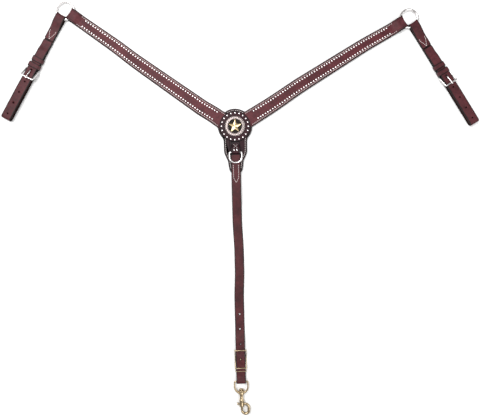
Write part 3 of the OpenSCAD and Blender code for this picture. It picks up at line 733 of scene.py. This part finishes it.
# the D-ring's chape and its rivets
chape = {"half": 11.25, "thick": 1.4, "start": 40.4, "low": 6.9, "high": 8.35, "bar": (67.5, 10.8),
    "fold": 3.1, "crossFrom": 46.5, "crossTo": 57.5, "crossY": 5.2, "crossPitch": 3.0, "rivetX": 62.0,
    "rivetY": 3.6, "rivetZ": 14.7, "rivetRadius": 2.3, "rivetHeight": 1.2}
chapePath = np.concatenate([[[chape["start"], chape["high"]]],
    stepPoints([45.5, chape["high"]], [58.5, 13.9]), arcPoints(chape["bar"], chape["fold"], 90, -90),
    stepPoints([66.5, 7.7], [58.5, chape["low"]]), [[chape["start"], chape["low"]]]])
finishPiece(strapPiece("dRingChape", down, chapePath, chape["half"], chape["thick"],
    [yokeLeather, fleshLeather], edge=0.5, stitchAt=2.6, groove=0.15, crown=0.15,
    gap=1.5, bendGap=0.7), "yoke", ["d_ring_chape"])
crossLines = [[[chape["crossFrom"], -y], [chape["crossTo"], y]] for y in (chape["crossY"], -chape["crossY"])]
points, headings = evenlyOnEach(crossLines, chape["crossPitch"])
z, slope = onTop(chapePath, points[:, 0], chape["thick"], 0.12)
finishPiece(stitches("chapeCross", down, np.c_[points, z - 0.1],
    np.c_[headings, slope * headings[:, 0]], 2.6, 0.42), "yoke")
rivets = down.put([[chape["rivetX"], y, chape["rivetZ"]] for y in (-chape["rivetY"], chape["rivetY"])])
rivetShape = spotShape(chape["rivetRadius"], chape["rivetHeight"])
finishPiece(addPiece("chapeRivets", copies(rivetShape, rivets, np.tile(down.along, (2, 1)), (0, 0, 1.0)),
    spotNickel, sharp=60), "yoke", ["chape_rivets"])

# the tie-down: one strap from under the D-ring to the snap and back up behind itself
# high and low are the heights of its two runs over and under the Conway buckle
tie = {"half": 12.3, "hole": 2.5, "firstHole": 602.0, "holePitch": 38.5, "high": 6.85, "low": 3.7,
    "sewnY": 6.6, "sewnPitch": 4.8}


def humped(z):
    # a run at height z that rises over the Conway buckle's centre bar
    return np.concatenate([stepPoints([584, z], [600, z + 1.9]), stepPoints([604, z + 1.9], [620, z])])


tiePath = np.concatenate([[[72.0, 7.3]], stepPoints([99, 7.3], [106, 7.7], 6),
    stepPoints([168, 7.7], [250, 1.5]), stepPoints([525, 1.5], [560, tie["high"]]), humped(tie["high"]),
    stepPoints([646, tie["high"]], [658.6, 11.8]), arcPoints([659.6, 8], 3.8, 90, -90),
    stepPoints([658.6, 4.2], [646, tie["low"]]), humped(tie["low"])[::-1], [[571, tie["low"]]]])
tieStrap = strapPiece("tieDownStrap", down, tiePath, tie["half"],
    lambda x: 2.2 + 0.8 * smooth(x, 99, 106), [tieLeather, fleshLeather],
    edge=0.9, tips=(0, 9), groove=0.0, crown=0.2)
punchHoles(tieStrap, down, tie["hole"], -5, 25, tie["firstHole"], -tie["holePitch"])
finishPiece(tieStrap, None, ["tie_down_end", "tie_down_strap"],
    ("yoke", "tie_down", down.at(147), down.at(161)))
vee = [[[99.0, y], [133, y], [146, 0.0]] for y in (-tie["sewnY"], tie["sewnY"])]
points, headings = evenlyOnEach(vee, tie["sewnPitch"])
z = onTop(tiePath, points[:, 0], 3.0, 0.15)[0]
finishPiece(stitches("tieDownStitches", down, np.c_[points, z - 0.05], atHeight(headings)),
    "yoke")
print("tie-down done")

# the Conway buckle: two end bars, two dished side rails, a centre bar with its prong
conway = {"x": 602.0, "half": 22.8, "barZ": 9.95, "barRadius": 1.5, "midZ": 2.6, "midRadius": 1.4,
    "railY": 14.2, "railEnd": 26.4, "railTip": 2.4, "prongTop": 11.9, "prongRadius": 1.45}
railLine = evenly(np.array([[-25.8, 0, 10.0], [-20, 0, 8.9], [-8, 0, 3.9], [-3, 0, 3.05], [3, 0, 3.05],
    [8, 0, 3.9], [20, 0, 8.9], [25.8, 0, 10.0]]) + [conway["x"], 0, 0], 0.5)[0]
railLine[:, 2] = averaged(railLine[:, 2], 8)
end = conway["railEnd"] - np.abs(railLine[:, 0] - conway["x"])
taper = np.sqrt(np.clip(1 - (1 - np.clip(end / conway["railTip"], 0, 1)) ** 2, 0.05, 1))
rails = [tube(railLine + [0, y, 0], 1.25 * taper, 2.0 * taper, count=16)
    for y in (-conway["railY"], conway["railY"])]
bars = [rod([conway["x"] + x, -conway["railY"], z], [conway["x"] + x, conway["railY"], z], radius)
    for x, z, radius in ((-conway["half"], conway["barZ"], conway["barRadius"]),
    (conway["half"], conway["barZ"], conway["barRadius"]), (0, conway["midZ"], conway["midRadius"]))]
prong = rod([conway["x"], 0, conway["midZ"]], [conway["x"], 0, conway["prongTop"]],
    conway["prongRadius"], 1.0)
shape = joined(*rails, *bars, prong)
finishPiece(addPiece("conwayBuckle", down.placed(shape), brass),
    "tie_down", ["conway_buckle"])

# the bolt snap: eye with its collar, swivelling body with the hook, and the bolt with its thumb knob
# profiles are (radius, distance along the snap), and the slot's ends are where the knob's stem stops
snap = {"eyeHalf": 17.2, "eyeMiddle": 13.0, "eyeCorner": 3.0, "eyeWire": 2.05, "slot": (49.7, 57.8),
    "slotHalf": 1.7, "hookX": 58.0, "hookBend": 9.0, "boltStart": 50.3, "boltEnd": 73.0,
    "boltRadius": 3.0, "knobX": 57.5, "ribs": 18, "ribDepth": 0.05}
corner = snap["eyeCorner"]
half = np.concatenate([arcPoints([snap["eyeMiddle"], 0], snap["eyeHalf"], 22, 90), [[8.0, snap["eyeHalf"]]],
    arcPoints([corner, snap["eyeHalf"] - corner], corner, 90, 180, 8)])
loop = evenly(atHeight(np.concatenate([half, (half * [1, -1])[::-1]])), 0.8)[0]
thicker = smooth(loop[:, 0], 14, 27)
eyeTube = tube(loop, snap["eyeWire"] + 0.45 * thicker, snap["eyeWire"] + 0.2 * thicker)
collarProfile = [[3.56, 22.3], [5.6, 22.0], [7.2, 22.8], [7.8, 24.4], [7.4, 26.0], [7.2, 27.4],
    [7.4, 28.8], [7.9, 30.2], [7.7, 31.8], [6.8, 32.6], [3.56, 32.6]]
shape = joined(eyeTube, turned(collarProfile, 40, "x", closed=True))
finishPiece(addPiece("snapEye", snapPlace.placed(shape), brass, sharp=60),
    "snap_eye", ["snap_eye"])
bodyProfile = [[0.2, 17.7], [2.6, 17.9], [4.4, 18.6], [5.3, 19.7], [5.5, 20.8], [5.1, 21.6], [3.5, 21.7],
    [3.5, 33.0], [5.4, 33.0], [6.0, 33.5], [6.0, 34.5], [5.3, 35.0], [4.5, 35.6], [4.4, 38.0],
    [4.7, 42.0], [5.3, 45.5], [6.1, 47.4], [6.3, 48.4], [6.0, 49.4], [6.0, 59.6], [6.3, 60.4],
    [6.3, 62.6], [5.7, 64.0], [3.6, 64.2], [3.08, 63.6], [3.08, 37.8], [2.6, 37.4], [0.2, 37.3]]
snapBody = addPiece("snapBody", snapPlace.placed(turned(bodyProfile, 44, "x")), brass, sharp=50)
t = np.radians(np.linspace(-90, 90, 9))
slotX, slotZ = snap["slotHalf"] * np.cos(t), snap["slotHalf"] * np.sin(t)
stadium = np.concatenate([np.stack([snap["slot"][1] + slotX, slotZ], 1),
    np.stack([snap["slot"][0] - slotX, -slotZ], 1)])
slotGrid = np.stack([np.insert(stadium, 1, y, axis=1) for y in (-12.0, -0.5)])
cut(snapBody, snapPlace.placed(shell(slotGrid)))
hook = np.concatenate([[[snap["hookX"], 4.4], [snap["hookX"], 9.2]],
    arcPoints([67, 9.2], snap["hookBend"], 180, 90), arcPoints([74, 9.2], snap["hookBend"], 90, -90)])
hook = evenly(atHeight(hook), 0.8)[0]
s = np.linspace(0, 1, len(hook))
blunt = np.sqrt(1 - np.clip((s - 0.955) / 0.05, 0, 0.93) ** 2)
thick = (3.1 + 0.55 * np.sin(math.pi * np.clip(s * 1.1, 0, 1))) * blunt
hookPiece = addPiece("snapHook", snapPlace.placed(tube(hook, thick, thick * 0.96)), brass, sharp=60)
finishPiece(snapBody, "snap_body", ["snap_body"])
finishPiece(hookPiece, "snap_body")
bolt = rod([snap["boltStart"], 0, 0], [snap["boltEnd"], 0, 0], snap["boltRadius"], 1.0, 28)
stem = rod([snap["knobX"], 0, 0], [snap["knobX"], -9.0, 0], 1.35, 0.3, 14)
t = np.linspace(0, 2 * math.pi, 72, endpoint=False)
knobProfile = np.array([[0.2, -8.0], [3.0, -8.0], [3.6, -8.5], [3.7, -9.2], [3.7, -10.4], [3.4, -11.1],
    [2.2, -11.5], [0.2, -11.6]])
knobRadius = knobProfile[:, :1] * (1 - snap["ribDepth"] * (np.cos(snap["ribs"] * t) > 0)
    * (knobProfile[:, :1] > 3.3))
knob = shell(np.stack([snap["knobX"] + knobRadius * np.cos(t), knobProfile[:, 1:] + 0 * t,
    knobRadius * np.sin(t)], -1))
finishPiece(addPiece("snapBolt", snapPlace.placed(joined(bolt, stem, knob)), brass, sharp=50),
    "snap_bolt", ["snap_bolt"])
# the spring behind the bolt: five turns
coil = {"turns": 5, "radius": 2.48, "wire": 0.4, "start": 38.6, "end": 49.4}
t = np.linspace(0, 2 * math.pi * coil["turns"], 24 * coil["turns"] + 1)[:, None]
k = np.radians(np.arange(0, 360, 45))[None]
r = coil["radius"] + coil["wire"] * np.cos(k)
x = coil["start"] + (coil["end"] - coil["start"]) * t / t[-1] + coil["wire"] * np.sin(k)
shape = shell(np.stack([x, r * np.cos(t), r * np.sin(t)], -1))
finishPiece(addPiece("snapSpring", snapPlace.placed(shape), steel, sharp=0),
    None, ["snap_spring"],
    ("snap_body", "snap_bolt", snapPlace.at(coil["start"]), snapPlace.at(coil["end"])))
print("snap done")

# the shoulder straps, their lining, stitches and spots
# left and right: from the rosette's middle to the ring's middle
shoulder = {"left": 536.5, "right": 531.0, "wide": 44, "narrowing": 13, "thick": 3.0, "liningThick": 3.05,
    "ringRadius": 23.0, "pitch": 4.9, "stitchInset": 4.4, "hug": 0.5, "bendFrom": 42, "bendTo": 58}


def shoulderHalf(x):
    # half the strap's width, which narrows evenly towards the ring
    return (shoulder["wide"] - shoulder["narrowing"] * x / shoulder["left"]) / 2


def shoulderRows(x, z):
    # the points of both stitch lines
    y = shoulderHalf(x) - shoulder["stitchInset"]
    return np.concatenate([np.c_[x, sign * y, z] for sign in (-1, 1)])


def hugLag(y, reach):
    # how far a ring falls back from its tip at y: R - sqrt(R * R - y * y), for y up to the reach
    return shoulder["ringRadius"] - np.sqrt(shoulder["ringRadius"] ** 2 - np.clip(y, -reach, reach) ** 2)


for side in sides:
    place, ringX = shoulderPlace[side], shoulder[side]
    bend = ("yoke", side + "_shoulder", place.at(shoulder["bendFrom"]), place.at(shoulder["bendTo"]))
    shoulderPath = np.concatenate([[[27.0, 4.7]], stepPoints([ringX - 52, 4.7], [ringX - 30, 11.9]),
        arcPoints([ringX - 20.5, 6.7], 5.2, 90, -90), [[ringX - 62, 1.5]]])

    def roundRing(grid):
        # the fold pushed out along the strap, towards the ring
        lag = hugLag(grid[..., 1], 18)
        grid = grid.copy()
        grid[..., 0] += shoulder["hug"] * lag * smooth(grid[..., 0], ringX - 42.5, ringX - 25.5)
        return grid

    finishPiece(strapPiece(side + "ShoulderStrap", place, shoulderPath, shoulderHalf, shoulder["thick"],
        [stitchedLeather, fleshLeather], reshape=roundRing, edge=1.1, tips=(0, 5),
        groove=0.35, crown=0.3), None, [side + "_shoulder_top"], bend)
    finishPiece(strapPiece(side + "ShoulderLining", place, [[ringX - 62.4, 1.6], [30, 1.6]], shoulderHalf,
        shoulder["liningThick"], [liningLeather, liningLeather], groove=0.25, crown=0.0),
        None, [side + "_shoulder_lining"], bend)
    x = np.arange(44.0, ringX - 43.5, shoulder["pitch"])
    z, slope = onTop(shoulderPath, x, shoulder["thick"])
    heading = np.tile(np.c_[np.ones_like(x), 0 * x, slope], (2, 1))
    finishPiece(stitches(side + "ShoulderStitches", place, shoulderRows(x, z - 0.05), heading),
        None, (), bend)
    x = x[x < ringX - 64.5]
    heading = np.tile([1.0, 0, 0], (2 * len(x), 1))
    finishPiece(stitches(side + "BackStitches", place, shoulderRows(x, 0.15 + 0 * x), heading, under=True),
        None, (), bend)
    x = np.arange(spot["first"], ringX - spot["last"], spot["pitch"])
    rows = np.concatenate([np.c_[x, sign * shoulderHalf(x) * spot["row"], spot["strapSeat"] + 0 * x]
        for sign in (-1, 1)])
    shape = copies(spotShape(spot["radius"], spot["height"]), place.put(rows),
        np.tile(place.along, (len(rows), 1)), (0, 0, 1.0))
    finishPiece(addPiece(side + "ShoulderSpots", shape, spotNickel, sharp=60),
        side + "_shoulder", [side + "_shoulder_spots"])
print("shoulders done")

# the tugs: strap round the ring and the girth loop, buckle, chape, tongue and keepers
tug = {"half": 12.7, "thick": 2.8, "holePitch": 31.0, "firstHole": 211.0, "hole": 2.0, "chapeHalf": 11.7,
    "chapeThick": 1.3, "hug": 0.5, "veeY": 7.8, "veePitch": 4.4}
# x, the lowest and the highest height, the body and the node of each keeper
keepers = {"FixedKeeper": (163.5, 1.0, 15.3, "_tug", "_fixed_keeper"),
    "SlidingKeeper": (146.0, 0.9, 11.85, "_keeper", "_sliding_keeper")}
billet = np.concatenate([[[88.4, 6.15]], stepPoints([106, 6.15], [122, 8.85]),
    stepPoints([150, 8.85], [175, 13.2]), stepPoints([193, 13.4], [240, 14.6])])
turnback = stepPoints([30, 11.4], [56, 6.15])
tugPath = np.concatenate([billet, arcPoints([312.9, 8.9], 5.7, 90, -90), stepPoints([56, 3.2], [30, 2.0]),
    arcPoints([20.6, 6.7], 4.7, 270, 90), turnback, [[87.4, 6.15]]])
buckleChapePath = np.concatenate([[[122, 6.65]], stepPoints([162, 6.65], [174, 11.0]),
    arcPoints([175, 8.2], 2.8, 90, -90), stepPoints([174, 5.4], [166, 5.3]), [[118, 5.3]]])


def bandPath(halfWidth, low, high, corner=2.6):
    # a rectangle with round corners, run clockwise from the middle of its underside
    centres = [(-halfWidth + corner, low + corner), (-halfWidth + corner, high - corner),
        (halfWidth - corner, high - corner), (halfWidth - corner, low + corner)]
    arcs = [arcPoints(c, corner, a, a - 90, 8) for c, a in zip(centres, (270, 180, 90, 0))]
    return np.concatenate([[[0, low]]] + arcs)


def box(x0, x1, y0, y1, z0, z1):
    # a block to cut with
    ring = np.array([[x0, y0], [x1, y0], [x1, y1], [x0, y1]])
    return shell(np.stack([np.c_[ring, np.full(4, z)] for z in (z0, z1)]))


for side in sides:
    place = tugPlace[side]
    ringY = place.find(ringMiddle[side])[1]

    def roundTugRing(grid):
        # the fold pulled back along the tug, towards the ring
        lag = hugLag(grid[..., 1] - ringY, 16)
        grid = grid.copy()
        grid[..., 0] -= tug["hug"] * lag * (1 - smooth(grid[..., 0], 27, 44))
        return grid

    strap = strapPiece(side + "TugStrap", place, tugPath, tug["half"], tug["thick"],
        [burgundyLeather, fleshLeather], reshape=roundTugRing, edge=0.9, tips=(3, 3), groove=0.0)
    punchHoles(strap, place, tug["hole"], 10.5, 25, tug["firstHole"], tug["holePitch"])
    cut(strap, place.placed(box(174, 184, -1.8, 1.8, 9.4, 21)))
    finishPiece(strap, side + "_tug", [side + "_tug_strap"])
    chapePiece = strapPiece(side + "BuckleChape", place, buckleChapePath, tug["chapeHalf"],
        tug["chapeThick"], [burgundyLeather, fleshLeather], edge=0.5, stitchAt=2.6,
        groove=0.0, crown=0.0, gap=2.0, bendGap=0.7)
    cut(chapePiece, place.placed(box(170, 190, -3, 3, 0.5, 21)))
    finishPiece(chapePiece, side + "_tug", [side + "_buckle_chape"])
    for name, (x, low, high, body, node) in keepers.items():
        band = bandPiece(side + name, place, bandPath(14.0, low, high), x, 6.5, 1.6, burgundyLeather,
            edge=0.6, stitchAt=2.4, groove=0.12, crown=0.15, gap=1.5, bendGap=0.7)
        finishPiece(band, side + body, [side + node])
    curl = arcPoints([175, 8.2], 2.72, -60, -290, 20)
    rise = np.array([[177.3, 12.4], [178.6, 14.6], [180.3, 16.2],
        [183.0, 17.2], [190.0, 18.8], [199.0, 20.85],
        [204.0, 21.75]])
    spine = evenly(np.insert(np.concatenate([curl, rise]), 1, 0, axis=1), 0.7)[0]
    for axis in (0, 2):
        spine[:, axis] = averaged(spine[:, axis], 2)
    s = runOf(spine)
    wide = 2.3 - 0.95 * smooth(s, 9.5, 13.5) - 0.25 * smooth(s, 22, 42)
    tall = 0.5 + 0.8 * smooth(s, 9.5, 14.5) - 0.15 * smooth(s, 30, 42)
    close = np.sqrt(1 - np.clip((s - s[-1] + 1.2) / 1.2, 0, 0.96) ** 2)
    shape = tube(spine, wide * close, tall * close, count=18)
    finishPiece(addPiece(side + "BuckleTongue", place.placed(shape), nickel, sharp=60),
        side + "_tongue", [side + "_buckle_tongue"])
    vee = [[[60.0, sign * tug["veeY"]], [66.0, sign * tug["veeY"]], [83.0, 0.6 * sign]] for sign in (-1, 1)]
    points, headings = evenlyOnEach(vee, tug["veePitch"])
    z = np.interp(points[:, 0], *turnback.T) + tug["thick"] / 2 + 0.12
    finishPiece(stitches(side + "TugStitches", place, np.c_[points, z], atHeight(headings)),
        side + "_tug")
print("tugs done")

# the metal that keeps the frame's own shape
for name, finish in {"concho_screw": nickel, "d_ring": nickel, "wire_keeper": brass, "left_ring": nickel,
        "right_ring": nickel, "left_buckle_frame": nickel, "right_buckle_frame": nickel}.items():
    mesh = frame["nodes"][name].data
    mesh.materials.clear()
    mesh.materials.append(finish)

# floor, light and camera
floorPaint = Finish("floorPaint", Roughness=0.9, Specular_IOR_Level=0.1)
floorFinish = floorPaint.finish(floorPaint.blend(floorPaint.noise(2.0) * 0.1, (0.92, 0.92, 0.92),
    (0.90, 0.90, 0.90)))
floorCorners = atHeight(np.array([[-4.0, -4], [4, -4], [4, 4], [-4, 4]]), -0.0008)
floor = addPiece("floor", (floorCorners, [[0, 1, 2, 3]]), floorFinish, sharp=0)
world = bpy.data.worlds.new("studio")
bpy.context.scene.world = world
world.use_nodes = True
studio = {"sky": 0.4, "sensor": 36.0, "middle": (0.0156, -0.2124), "height": 1.3, "across": 1.253}
# each lamp: its position, size and power
lamps = {"key": ((-0.9, 0.5, 2.2), 1.6, 62.0), "fill": ((1.2, -0.9, 2.0), 1.4, 28.0)}
world.node_tree.nodes["Background"].inputs["Color"].default_value = (1, 1, 1, 1)
world.node_tree.nodes["Background"].inputs["Strength"].default_value = studio["sky"]
for name, (position, size, power) in lamps.items():
    lamp = bpy.data.lights.new(name, "AREA")
    lamp.energy, lamp.size = power, size
    holder = bpy.data.objects.new(name, lamp)
    bpy.context.scene.collection.objects.link(holder)
    holder.location = position
    away = np.array([*studio["middle"], 0.0]) - np.array(position)
    holder.rotation_euler = (math.acos(-away[2] / np.linalg.norm(away)), 0.0,
        math.atan2(away[1], away[0]) - math.pi / 2)
bpy.context.scene.view_settings.view_transform = "Standard"
camera = bpy.data.cameras.new("camera")
camera.lens = studio["sensor"] * studio["height"] / studio["across"]
camera.sensor_width = studio["sensor"]
viewer = bpy.data.objects.new("camera", camera)
bpy.context.scene.collection.objects.link(viewer)
viewer.location = (*studio["middle"], studio["height"])
bpy.context.scene.camera = viewer
